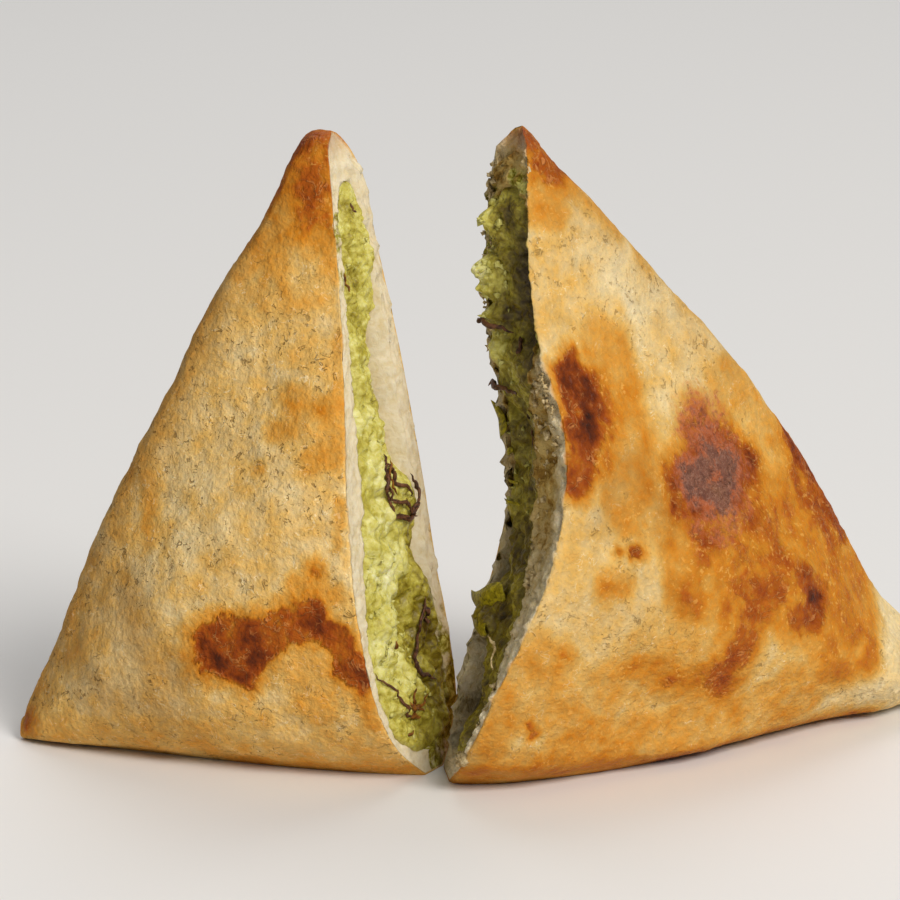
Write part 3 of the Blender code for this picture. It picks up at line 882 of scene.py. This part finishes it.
def crumb_group():
    """Colour and height of torn bread crumb with mash smeared on it; Shadow darkens it to yellow-brown as
    painted shade and makes its grain clumpier.
    """
    tree, given, result = new_group("torn_crumb", ("Smear", "Shadow"), ("Color", "Height"))
    shadow = given["Shadow"]
    clump = noise(tree, 380.0, 3.0, 0.6)
    pore = noise(tree, 900.0, 4.0, 0.65, 0.3) + 1.3 * (clump - 0.5) * shadow
    shade = ramp(
        (pore - 0.5) * ranged(shadow, 0.0, 1.0, 0.35, 1.0) + 0.5,
        (0.30, 172, 146, 96),
        (0.42, 210, 190, 144),
        (0.52, 222, 208, 176),
        (0.64, 233, 224, 198),
    )
    # Painted shade: the crumb is multiplied by yellow-brown as Shadow rises.
    shade = mixed(shadow, shade, colour(212, 186, 120), "MULTIPLY")
    smear = ranged(noise(tree, 330.0, 4.0, 0.65) + 0.5 * given["Smear"], 0.66, 0.84)
    olive = ramp(pore, (0.34, 92, 76, 8), (0.50, 146, 134, 40), (0.64, 206, 198, 110))
    plug(result, {"Color": mixed(smear, shade, olive), "Height": pore})


def baked_dough(name, cracks, painted_shade_tone, shadow):
    """Crust on the skin that turns into crumb on the rim and in the pocket."""
    material, tree, shader = new_material(name)
    share = field(tree, "crumb")
    feeds = {label: field(tree, label.lower()) for label in ("Toast", "Ash", "Dull_and_shade")}
    crust = group(tree, "baked_crust", {**feeds, "Cracks": cracks, "Painted_shade_tone": painted_shade_tone})
    # The shadow value paints shade onto the crumb, weighted at each point.
    shadows = {"Smear": field(tree, "smear"), "Shadow": field(tree, "painted_shade") * shadow}
    crumb = group(tree, "torn_crumb", shadows)
    height = crust["Height"] * (1.0 - share) + crumb["Height"] * (share * (0.4 + 1.6 * shadow))
    finish = {
        "Base Color": mixed(share, crust["Color"], crumb["Color"]),
        "Roughness": maths("ADD", crust["Roughness"], 0.3 * share, True),
        "Normal": bump(height, 0.9, 0.0006),
        "Specular IOR Level": 0.12,
        "Subsurface Weight": 0.08,
        "Subsurface Radius": (0.0012, 0.0007, 0.0003),
        "Subsurface Scale": 1.0,
    }
    plug(shader, finish)
    return material


crust_group()
crumb_group()
# The right half's crust is darkened by its tone as painted shade, the key light falling more squarely on
# it.
left_dough = baked_dough("left_baked_dough", cracks=1.0, painted_shade_tone=0.98, shadow=0.0)
# The right half's crumb carries painted shade, its cut facing away from the key light.
right_dough = baked_dough("right_baked_dough", cracks=0.65, painted_shade_tone=0.83, shadow=0.85)
make_dough(LEFT, left_dough)
make_dough(RIGHT, right_dough)

# ------------------------------------------------------------------- filling
# Moist mashed filling pressed into the pocket, yellow-green, lumpy where the
# knife and the tear went through it.  It fills the pocket and a hair of its wall.

CLEARANCE = -0.1
MASH_SIDES, MASH_ACROSS, MASH_ROWS = 340, 72, 8
MASH_SHORT, MASH_BULGE = 0.01, 0.4      # how far it stops before the pocket's end, and bulges
MASH_SEEDS = {"left": 51, "right": 83}
# Places on the cut face are (share of the height, place from 0 near to 1 far,
# spread up, spread across, size).
# Where the mash fell back from the cut, and how deep.
FALLEN = {}
FALLEN["left"] = (
    (0.665, 1.05, 0.06, 0.5, 3.6),
    (0.57, 1, 0.06, 0.45, 3.4),
    (0.49, 1, 0.04, 0.35, 1.8),
    (0.34, 1, 0.035, 0.3, 1.8),
    (0.25, 0.55, 0.03, 0.15, 1.2),
    (0.19, 0.75, 0.04, 0.2, 1.4),
)
FALLEN["right"] = (
    (0.78, 0, 0.08, 0.4, 5),
    (0.7, 0.45, 0.03, 0.25, 1.6),
    (0.52, 0.45, 0.07, 0.3, 3),
    (0.42, 0.3, 0.04, 0.3, 2),
    (0.33, 1.1, 0.04, 0.35, 3),
    (0.27, 0.35, 0.05, 0.3, 1.6),
    (0.14, 1, 0.07, 0.6, 4.6),
    (0.865, 1.05, 0.018, 0.25, -3.2),
    (0.785, 1.05, 0.022, 0.28, -3.8),
    (0.755, 1.02, 0.01, 0.22, -2.6),
    (0.715, 1.02, 0.012, 0.25, -2.4),
    (0.66, 1, 0.02, 0.25, -1.4),
    (0.25, 1.05, 0.025, 0.35, -2.4),
)
# Olive places of the cut, darkened as painted shade in its hollows and low down, and how strong.
OLIVE_AND_SHADE = {}
OLIVE_AND_SHADE["left"] = (
    (0.87, 0.35, 0.03, 0.3, 0.5),
    (0.76, 0.3, 0.05, 0.2, 0.5),
    (0.28, 0.62, 0.03, 0.16, 0.9),
    (0.36, 0.9, 0.06, 0.3, 0.5),
    (0.23, 0.8, 0.08, 0.32, 0.9),
    (0.12, 1, 0.16, 0.5, 0.8),
    (0.07, 0.55, 0.06, 0.4, 0.5),
)
OLIVE_AND_SHADE["right"] = (
    (0.88, 0.45, 0.05, 0.4, 0.4),
    (0.76, 0.08, 0.1, 0.38, 1.6),
    (0.72, 0.5, 0.02, 0.3, 0.7),
    (0.52, 0.4, 0.07, 0.35, 0.9),
    (0.36, 0.4, 0.05, 0.5, 0.7),
    (0.26, 0.5, 0.05, 0.5, 0.7),
    (0.15, 0.2, 0.06, 0.4, 0.6),
)
# Paler, crumbly places of the cut, and how strong.
PALE = {}
PALE["left"] = (
    (0.8, 0.6, 0.05, 0.4, 0.4),
    (0.5, 0.3, 0.03, 0.3, 0.5),
    (0.33, 0.35, 0.08, 0.3, 0.8),
    (0.2, 0.3, 0.07, 0.25, 0.8),
)
PALE["right"] = (
    (0.865, 1.05, 0.02, 0.3, 1.4),
    (0.785, 1.05, 0.03, 0.4, 1.4),
    (0.72, 1.05, 0.02, 0.3, 1.2),
    (0.66, 1, 0.02, 0.3, 1.2),
    (0.9, 0.9, 0.02, 0.4, 0.6),
)

def cut_bells(places, share, across):
    """Bells over the cut face: size * exp(-up^2 - across^2), in spreads from each place."""
    return [
        size * np.exp(-(((share - up) / tall) ** 2) - ((across - place) / wide) ** 2)
        for up, place, tall, wide, size in places
    ]


def mash_relief(half, local, across):
    """How far the mash lies behind the cut at local places: hollows less lumps."""
    seed = MASH_SEEDS[half["name"]]
    share = local[..., 2] / half["height"]
    low, high = half["pocket"][0] / half["height"], half["pocket"][1] / half["height"]
    inner = rounding(across * 5) * rounding((1 - across) * 5)
    inner = inner * rounding((share - low) * 22) * rounding((high - share) * 22)
    points = placed(half, local)
    long = points * np.array([1.0, 1.0, 0.5])
    lumps = 0.8 * layered(points, 7.0, 2, seed) + 0.9 * pebbles(points, 3.0, seed + 1)
    lumps = lumps + 0.55 * pebbles(points, 1.6, seed + 2) + 0.25 * pebbles(points, 0.9, seed + 4)
    lumps = lumps + 0.40 * layered(long, 1.4, 3, seed + 3, 0.6)
    return 0.5 + sum(cut_bells(FALLEN[half["name"]], share, across)) - inner * (0.2 + lumps)


def mash_cut(half):
    """Rings of the filling's body, and a grid over its cut face with rows up and
    columns from near to far: straight runs between the two sides."""
    steps = (MASH_SIDES, MASH_ACROSS - 1, MASH_SIDES, MASH_ACROSS - 1)
    reach = half["pocket"][2] - MASH_SHORT
    body = ring(half, np.linspace(0.0, reach, MASH_ROWS), steps, True, CLEARANCE)
    far_start = MASH_SIDES + MASH_ACROSS - 1
    near = body[0, :MASH_SIDES, None]
    far = body[0, far_start : far_start + MASH_SIDES][::-1, None]
    return body, near + (far - near) * np.linspace(0.0, 1.0, MASH_ACROSS + 1)[None, :, None]


def make_mash(half, material):
    """Body of the filling and its lumpy cut face as one closed mesh."""
    name = half["name"]
    body, cut = mash_cut(half)
    close = body[-1].mean(0) + np.array([MASH_BULGE, 0.0, 0.0]) + 0.0 * body[-1:]
    body = np.concatenate([body, close])
    share = cut[..., 2] / half["height"]
    across = np.linspace(0.0, 1.0, MASH_ACROSS + 1)[None]
    back = mash_relief(half, cut, across)
    cut[..., 0] += back
    edges = np.concatenate([back[:, 0], back[-1, 1:-1], back[::-1, -1], back[0, -2:0:-1]])
    fade = (1.0 - np.linspace(0.0, 1.0, len(body))[:, None]) ** 2
    body[..., 0] += edges[None] * fade

    sides = np.zeros(body.shape[0] * body.shape[1])
    fields = {}
    # Olive with painted shade: strong on the hidden sides in the pocket and in the cut's hollows.
    for field_name, places, side_value in (("olive", OLIVE_AND_SHADE, 0.7), ("pale", PALE, 0.0)):
        over_cut = np.max(cut_bells(places[name], share, across), axis=0)
        fields[field_name] = np.concatenate([sides + side_value, over_cut.ravel()])
    points = np.concatenate([placed(half, grid).reshape(-1, 3) for grid in (body, cut)])
    index = len(sides) + np.arange(cut[..., 0].size).reshape(cut.shape[:2])
    quads = np.stack([index[:-1, :-1], index[:-1, 1:], index[1:, 1:], index[1:, :-1]], -1)
    faces = np.concatenate([closed_grid_faces(*body.shape[:2]), quads.reshape(-1, 4)])
    make_piece(name + "_mash", points, faces, material, name + "_green_mash", fields, [name + "_filling"])


def mash_group():
    """Colour and height of mash, olive and darker as painted shade where it lies deep, pale where it
    crumbles.
    """
    inputs = ("Olive_and_shade", "Pale", "Shade")
    tree, given, result = new_group("mashed_filling", inputs, ("Color", "Height"))
    fine = noise(tree, 1100.0, 4.0, 0.65, 0.5)
    value = 0.5 * noise(tree, 260.0, 4.0, 0.6, 0.6) + 0.5 * fine
    shade = ramp(
        value - 0.22 * given["Olive_and_shade"] + 0.16 * given["Pale"] - given["Shade"],
        (0.16, 70, 52, 4),
        (0.30, 118, 102, 16),
        (0.42, 170, 156, 54),
        (0.52, 200, 190, 92),
        (0.62, 218, 212, 138),
        (0.76, 238, 234, 190),
    )
    plug(result, {"Color": shade, "Height": fine})


def green_mash(name, shade):
    """Moist yellow-green mash with paler crumbs, and olive hollows darkened as painted shade."""
    material, tree, shader = new_material(name)
    feeds = {"Olive_and_shade": field(tree, "olive"), "Pale": field(tree, "pale"), "Shade": shade}
    mash = group(tree, "mashed_filling", feeds)
    finish = {
        "Base Color": mash["Color"],
        "Normal": bump(mash["Height"], 0.7, 0.0004),
        "Roughness": 0.40,
        "Specular IOR Level": 0.40,
        "Subsurface Weight": 0.45,
        "Subsurface Radius": (0.0012, 0.0010, 0.0004),
        "Subsurface Scale": 1.0,
    }
    plug(shader, finish)
    return material


mash_group()
# The right half's mash is darkened by its shade as painted shade, its cut facing away from the key light.
left_mash = green_mash("left_green_mash", shade=0.01)
right_mash = green_mash("right_green_mash", shade=0.12)
make_mash(LEFT, left_mash)
make_mash(RIGHT, right_mash)

# --------------------------------------------------------------- herb strips
# Dark fried herb strips and olive leaf tips caught in the mash, pressed into
# the cut face.  Each half's strips are one piece of thin tapered strands.

# A strand is (thickness, flatness, lift, path), a leaf (width, lift, path); a
# path runs through places of height and distance across from 0 near to 1 far.
LEFT_STRIPS = (
    (0.3, 0.9, 0.2, (43.6, 0.44, 42.6, 0.36, 41.2, 0.38, 39.8, 0.34, 38.4, 0.42, 37, 0.43, 35.8, 0.52)),
    (0.26, 0.9, 0.4, (43, 0.38, 42.2, 0.5, 41, 0.54, 39.6, 0.62, 38.6, 0.7, 37.8, 0.8)),
    (0.28, 0.9, 0.9, (40.4, 0.97, 39.2, 0.92, 38.2, 0.84, 36.9, 0.8, 35.8, 0.7)),
    (0.34, 0.8, 0.4, (36.6, 0.44, 35.6, 0.54, 34.9, 0.66, 35.2, 0.8, 36.2, 0.9)),
    (0.24, 0.9, 0.6, (38.6, 0.4, 37.4, 0.52, 36.8, 0.64, 35.6, 0.72, 34.6, 0.84)),
    (0.22, 0.9, 0.3, (40.6, 0.34, 39.4, 0.44, 38, 0.48, 36.6, 0.58)),
    (0.18, 0.9, 0.2, (44.4, 0.46, 43.4, 0.42, 42.4, 0.46, 41.4, 0.44)),
    (0.2, 0.9, 0.5, (37.2, 0.9, 36, 0.86, 35, 0.78, 34.4, 0.7)),
    (0.34, 0.7, 0.2, (35.8, 0.56, 35, 0.64)),
    (0.42, 0.6, 0.3, (23.6, 0.8, 22, 0.78, 20.4, 0.72, 18.6, 0.7, 17, 0.69, 15.8, 0.61, 14.8, 0.56,
        13.8, 0.62, 12.6, 0.74, 11.4, 0.86)),
    (0.4, 0.6, 0.2, (22.4, 0.78, 21, 0.81, 19.8, 0.86)),
    (0.15, 1, 0.1, (16.6, 0.03, 14.2, 0.09, 12.4, 0.14, 10.8, 0.2, 9.2, 0.26)),
    (0.2, 0.9, 0.1, (13, 0.12, 11.2, 0.17, 9.6, 0.24, 8.8, 0.34)),
    (0.16, 0.9, 0.1, (77.6, 0.42, 76.6, 0.46, 76, 0.42)),
)
RIGHT_STRIPS = (
    (0.34, 0.7, 1.1, (61.6, 1.22, 61.9, 1, 61.7, 0.72, 60.8, 0.5)),
    (0.42, 0.7, 0.4, (60.6, 0.42, 59.6, 0.34, 58.4, 0.32)),
    (0.42, 0.6, 1, (51.9, 1.42, 52.7, 1.26, 53, 1, 53.1, 0.62, 53.2, 0.25)),
    (0.2, 0.8, 0.2, (50.6, 0.5, 47, 0.52, 43.6, 0.46)),
)
LEFT_RUSTY_BITS = (
    (0.16, 0.9, 0.3, (69, 0.02, 67.8, 0.07, 66.4, 0.05)),
    (0.18, 0.9, 0.5, (43.4, 0.48, 42, 0.42, 40.4, 0.46, 38.8, 0.54)),
    (0.16, 0.9, 0.6, (37.8, 0.62, 36.6, 0.72, 35.6, 0.8)),
    (0.3, 0.8, 0.1, (19.6, 0.3, 18.6, 0.34, 18, 0.4)),
    (0.26, 0.8, 0.2, (12.2, 0.5, 10.8, 0.46, 9.4, 0.48, 8.6, 0.56)),
    (0.22, 0.8, 0.2, (10.2, 0.3, 9.4, 0.42, 9.6, 0.58, 10.6, 0.62)),
    (0.34, 0.8, 0.1, (10.6, 0.33, 9.6, 0.4, 9.8, 0.5)),
    (0.36, 0.8, 0.1, (8.8, 0.3, 8.2, 0.42, 8, 0.52)),
    (0.24, 0.8, 0.1, (11, 0.46, 9.6, 0.44, 8.4, 0.38)),
    (0.2, 0.8, 0.1, (6.8, 0.16, 6.6, 0.26)),
)
RIGHT_LEAF_TIPS = (
    (2.4, 1.6, (50.2, 1.3, 49, 1.14, 47.6, 1.02, 46, 0.85)),
    (0.9, 1, (43.2, 1.14, 43.4, 0.98, 44.6, 0.78)),
    (0.5, 1, (39.8, 1.06, 39.6, 0.9, 39.6, 0.7)),
    (0.5, 1, (37.4, 0.92, 37.2, 0.8, 37, 0.6)),
    (3.6, 0.8, (23.4, 1.34, 23, 1.16, 23.6, 0.92, 26.4, 0.5)),
    (2.4, 0.7, (20.4, 1.2, 20.2, 1, 21, 0.6)),
)
STRAND_SIDES, STRAND_ROWS = 8, 34
STRAND_SWAY = 0.26
DENT_SPAN = 7               # steps along a path over which it bridges dents
LEAF_SHOULDER, LEAF_CUP, LEAF_THICKNESS = 0.8, 0.35, 0.12


def cut_place(half, up, across):
    """Local place on the cut at a height and across it, from 0 near to 1 far."""
    share = up / edge_height(half, 0.0)
    near = pocket_depth(half, "near", 0.0, share)
    far = pocket_depth(half, "far", 0.0, share)
    depth = -near + (near + far) * across
    return np.stack([outward_place(half, 0.0, share, depth, False), depth, up], -1)


def on_mash(half, up, across, lift):
    """Path that lies on the mash, lifted, and does not dip into its dents."""
    local = cut_place(half, up, across)
    relief = mash_relief(half, local, np.clip(across, 0.0, 1.0))
    padded = np.pad(relief, DENT_SPAN // 2, "edge")
    windows = np.stack([padded[k : k + len(relief)] for k in range(DENT_SPAN)])
    local[:, 0] += 0.5 * (windows.min(0) + windows.mean(0)) - lift
    return placed(half, local)


def smooth_path(places, count):
    """Even steps along a Catmull-Rom curve through the places."""
    padded = np.concatenate([2 * places[:1] - places[1:2], places, 2 * places[-1:] - places[-2:-1]])
    t = np.linspace(0.0, len(places) - 1.0, count)
    k = np.minimum(t.astype(int), len(places) - 2)
    f = (t - k)[:, None]
    a, b, c, d = padded[k], padded[k + 1], padded[k + 2], padded[k + 3]
    return 0.5 * (2 * b + (c - a) * f + (2 * a - 5 * b + 4 * c - d) * f**2 + (3 * b - a - 3 * c + d) * f**3)


def laid_path(half, lift, path):
    """Smooth path over the mash through places given as flat numbers."""
    up, across = smooth_path(np.array(path, float).reshape(-1, 2), STRAND_ROWS).T
    return on_mash(half, up, across, lift)


def frame_along(path, facing):
    """Unit directions across a path: one in the given facing plane, one out of it."""
    along = np.gradient(path, axis=0)
    along /= np.maximum(np.linalg.norm(along, axis=1, keepdims=True), 1e-9)
    out = facing - (along * facing).sum(1, keepdims=True) * along
    out /= np.linalg.norm(out, axis=1, keepdims=True)
    return np.cross(along, out), out


def tube(path, wide, tall, facing):
    """Tapered closed tube: ellipse of wide by tall around each place of the path."""
    across, out = frame_along(path, facing)
    t = np.linspace(0.0, 1.0, len(path))
    taper = np.clip(1.0 - np.abs(2 * t - 1.0) ** 3, 0.0, 1.0)[:, None, None] ** 0.8
    angle = np.linspace(0.0, 2 * math.pi, STRAND_SIDES, endpoint=False)[None, :, None]
    sway = 1.0 + 0.25 * np.sin(9.0 * t + path[0].sum())[:, None, None]
    side = across[:, None] * np.cos(angle) * wide + out[:, None] * np.sin(angle) * tall
    return path[:, None] + side * (taper * sway)


def make_joined(name, grids, material, slot):
    """Several closed grids as one piece."""
    faces, start = [], 0
    for grid in grids:
        faces.append(closed_grid_faces(*grid.shape[:2]) + start)
        start += grid.shape[0] * grid.shape[1]
    points = np.concatenate([grid.reshape(-1, 3) for grid in grids])
    make_piece(name, points, np.concatenate(faces), material, slot)


def make_strands(half, name, strands, material, slot):
    """Strands laid on the cut face as one piece."""
    grids = []
    for wide, flat, lift, places in strands:
        path = laid_path(half, lift, places)
        path = path + STRAND_SWAY * layered(path, 1.4, 2, 5)[:, None]
        grids.append(tube(path, wide, wide * flat, facing_of(half)))
    make_joined(name, grids, material, slot)


def leaf_blade(half, width, lift, places):
    """Closed blade: widens from its tip as a power of the way in, cupped, a hair thick."""
    path = smooth_path(laid_path(half, lift, places)[:: STRAND_ROWS // 4], STRAND_ROWS)
    side, out = frame_along(path, facing_of(half))
    t = np.linspace(0.0, 1.0, STRAND_ROWS)[:, None]
    half_width = 0.5 * width * np.clip(t / LEAF_SHOULDER, 0, 1) ** 0.75 * rounding(7.0 * (1.0 - t))
    f = np.linspace(-1.0, 1.0, 5)[None]
    sheet = path[:, None] + side[:, None] * (half_width * f)[..., None]
    sheet = sheet - out[:, None] * (LEAF_CUP * half_width * f**2)[..., None]
    thickness = LEAF_THICKNESS * np.clip(6.0 * half_width / width, 0, 1)[..., None]
    under = (sheet - out[:, None] * thickness)[:, ::-1]
    return np.concatenate([sheet, under], 1)


def streak_group():
    """Long fine streaks of herbs and crumbs, as a value about 0.5."""
    tree, _, result = new_group("fine_streaks", (), ("Streaks",))
    plug(result, {"Streaks": noise(tree, 1400.0, 3.0, 0.6, 0.6)})


def streaked(name, dark, light, rough):
    """Herb or crumb: two tones in fine streaks, with a faint sheen."""
    material, tree, shader = new_material(name)
    streaks = group(tree, "fine_streaks", {})["Streaks"]
    finish = {
        "Base Color": ramp(streaks, (0.38, *dark), (0.62, *light)),
        "Normal": bump(streaks, 0.6, 0.0003),
        "Roughness": rough,
        "Specular IOR Level": 0.25,
    }
    plug(shader, finish)
    return material


streak_group()
herb_strip = streaked("herb_strip", (50, 28, 16), (110, 70, 42), 0.5)
rusty_bit = streaked("rusty_bit", (92, 50, 12), (146, 92, 28), 0.5)
leaf = streaked("leaf", (108, 96, 4), (184, 168, 30), 0.5)
make_strands(LEFT, "left_strips", LEFT_STRIPS, herb_strip, "left_green_mash")
make_strands(RIGHT, "right_strips", RIGHT_STRIPS, herb_strip, "right_green_mash")
make_strands(LEFT, "left_rusty_bits", LEFT_RUSTY_BITS, rusty_bit, "left_green_mash")
blades = [leaf_blade(RIGHT, *tip) for tip in RIGHT_LEAF_TIPS]
make_joined("right_leaf_tips", blades, leaf, "right_green_mash")

# ------------------------------------------------------------- torn crumbs
# Flakes of bread crumb torn loose on the right half's rim, a pale fibre, and
# crumbs of mash on both cut faces.  They lie on the cut, half sunk into it.

CRUMB_ROWS, CRUMB_SIDES = 6, 8
# A zone is (count, size, lift, heights, places across); below 0 and above 1 is the rim.
BREAD_CRUMB_ZONES = (
    (170, 0.26, 0.0, (28, 58), (-0.90, -0.02)),
    (90, 0.28, 0.1, (26, 42), (-0.70, -0.02)),
    (30, 0.46, 0.1, (27, 40), (-0.60, 0.0)),
    (70, 0.26, 0.2, (8, 27), (-0.75, -0.05)),
    (60, 0.30, 0.2, (56, 84), (1.0, 2.0)),
    (12, 0.45, 0.4, (4.2, 6.4), (-0.80, -0.05)),
)
RIGHT_MASH_ZONES = ((26, 0.30, 0.1, (62, 79), (0.6, 1.0)), (20, 0.28, 0.2, (36, 62), (0.5, 1.0)))
LEFT_MASH_ZONES = (
    (60, 0.24, 0.0, (9, 32), (0.05, 0.62)),
    (24, 0.20, 0.0, (32, 76), (0.08, 0.60)),
    (16, 0.20, 0.0, (5, 12), (0.05, 0.85)),
)
PALE_FIBRE = (0.20, 0.8, 0.8, (20.6, 0.55, 20.2, 0.36, 19.2, 0.16, 18.2, 0.02))


def crumb_lump(middle, size, seed):
    """Lumpy ball of the given size: a sphere pushed by grain."""
    swing = np.linspace(0.0, math.pi, CRUMB_ROWS)[:, None]
    turn = np.linspace(0.0, 2 * math.pi, CRUMB_SIDES, endpoint=False)[None]
    ball = (np.sin(swing) * np.cos(turn), np.sin(swing) * np.sin(turn), np.cos(swing) + 0 * turn)
    ball = np.stack(ball, -1)
    spin = lattice_numbers(np.array([seed, 3, 7]), 5)
    stretch = 1.0 + 0.45 * lattice_numbers(np.array([seed, 1, 2]), 9)
    push = 1.0 + 1.2 * grain(ball + 10.0 * spin, 0.8, 3)
    return middle + ball * push[..., None] * stretch * size


def make_crumbs(half, name, zones, material, slot, seed):
    """Crumbs strewn evenly over the zones, on the mash or on the rim beside it."""
    grids = []
    for zone, (count, size, lift, heights, places) in enumerate(zones):
        cells = np.stack([np.arange(count), np.full(count, zone), np.full(count, seed)], -1)
        pick = 0.5 + 0.5 * lattice_numbers(cells, seed)
        up = heights[0] + (heights[1] - heights[0]) * pick[:, 0]
        across = places[0] + (places[1] - places[0]) * pick[:, 1]
        held = np.clip(across, 0.0, 1.0)
        local = cut_place(half, up, held)
        share = up / edge_height(half, 0.0)
        for face, beyond in (("near", np.clip(across, -1, 0)), ("far", np.clip(across - 1, 0, 1))):
            rim = face_depth(half, face, 0.0, share) - pocket_depth(half, face, 0.0, share)
            local[:, 1] += rim * beyond
        local[:, 0] += np.where(across == held, mash_relief(half, local, held), 0.0) - lift
        middle = placed(half, local)
        sizes = size * (0.5 + pick[:, 2])
        grids += [crumb_lump(middle[k], sizes[k], seed + 31 * k + zone) for k in range(count)]
    make_joined(name, grids, material, slot)


bread_crumb = streaked("bread_crumb", (164, 138, 88), (222, 200, 152), 0.7)
mash_crumb = streaked("mash_crumb", (176, 166, 74), (214, 208, 130), 0.7)
make_crumbs(RIGHT, "right_bread_crumbs", BREAD_CRUMB_ZONES, bread_crumb, "right_baked_dough", 3)
make_crumbs(RIGHT, "right_mash_crumbs", RIGHT_MASH_ZONES, mash_crumb, "right_green_mash", 5)
make_crumbs(LEFT, "left_mash_crumbs", LEFT_MASH_ZONES, mash_crumb, "left_green_mash", 7)
make_strands(RIGHT, "pale_fibre", (PALE_FIBRE,), bread_crumb, "right_baked_dough")

# ------------------------------------------------------- camera, floor, light
# A pale floor, a soft key from the right and front, and a dim fill.

LOOK = (-0.00607, -0.00946, 0.0445)
AIM = (0.0, 0.0, 0.03)
ELEVATION = 13.0
DISTANCE = 0.62
LENS, SENSOR = 186.0, 36.0
FLOOR_SIZE = 6.0


def make_camera():
    """Long lens in front of the cut, a little above it and looking down at it."""
    data = bpy.data.cameras.new("camera")
    data.lens = LENS
    data.sensor_width = SENSOR
    camera = new_object("camera", data)
    rise = math.radians(ELEVATION)
    back, up = DISTANCE * math.cos(rise), DISTANCE * math.sin(rise)
    camera.location = (LOOK[0], LOOK[1] - back, LOOK[2] + up)
    camera.rotation_euler = (math.radians(90.0 - ELEVATION), 0.0, 0.0)
    bpy.context.scene.camera = camera


def make_floor():
    """Wide pale floor."""
    mesh = bpy.data.meshes.new("floor")
    corners = [(x * FLOOR_SIZE, y * FLOOR_SIZE, 0.0) for x, y in ((-1, -1), (1, -1), (1, 1), (-1, 1))]
    mesh.from_pydata(corners, [], [(0, 1, 2, 3)])
    material, _, shader = new_material("floor")
    plug(shader, {"Base Color": (0.80, 0.785, 0.765, 1.0), "Roughness": 0.6, "Specular IOR Level": 0.2})
    mesh.materials.append(material)
    new_object("floor", mesh)


def make_light(name, place, size, power, tint):
    """Square soft light that faces the middle of the object."""
    data = bpy.data.lights.new(name, "AREA")
    data.size = size
    data.energy = power
    data.color = tint
    lamp = new_object(name, data)
    lamp.location = place
    aim = np.array(AIM) - np.array(place)
    flat = math.hypot(aim[0], aim[1])
    lamp.rotation_euler = (math.atan2(flat, -aim[2]), 0.0, math.atan2(-aim[0], aim[1]))


make_camera()
make_floor()
make_light("key", (0.98, -1.46, 1.38), 0.90, 44.0, (1.0, 0.97, 0.93))
make_light("top", (0.10, 1.10, 1.7), 1.2, 12.0, (1.0, 0.99, 0.98))
world = bpy.data.worlds.new("studio")
world.use_nodes = True
plug(world.node_tree.nodes["Background"], {"Color": (0.95, 0.975, 1.0, 1.0), "Strength": 0.265})
bpy.context.scene.world = world
bpy.context.scene.view_settings.view_transform = "Standard"
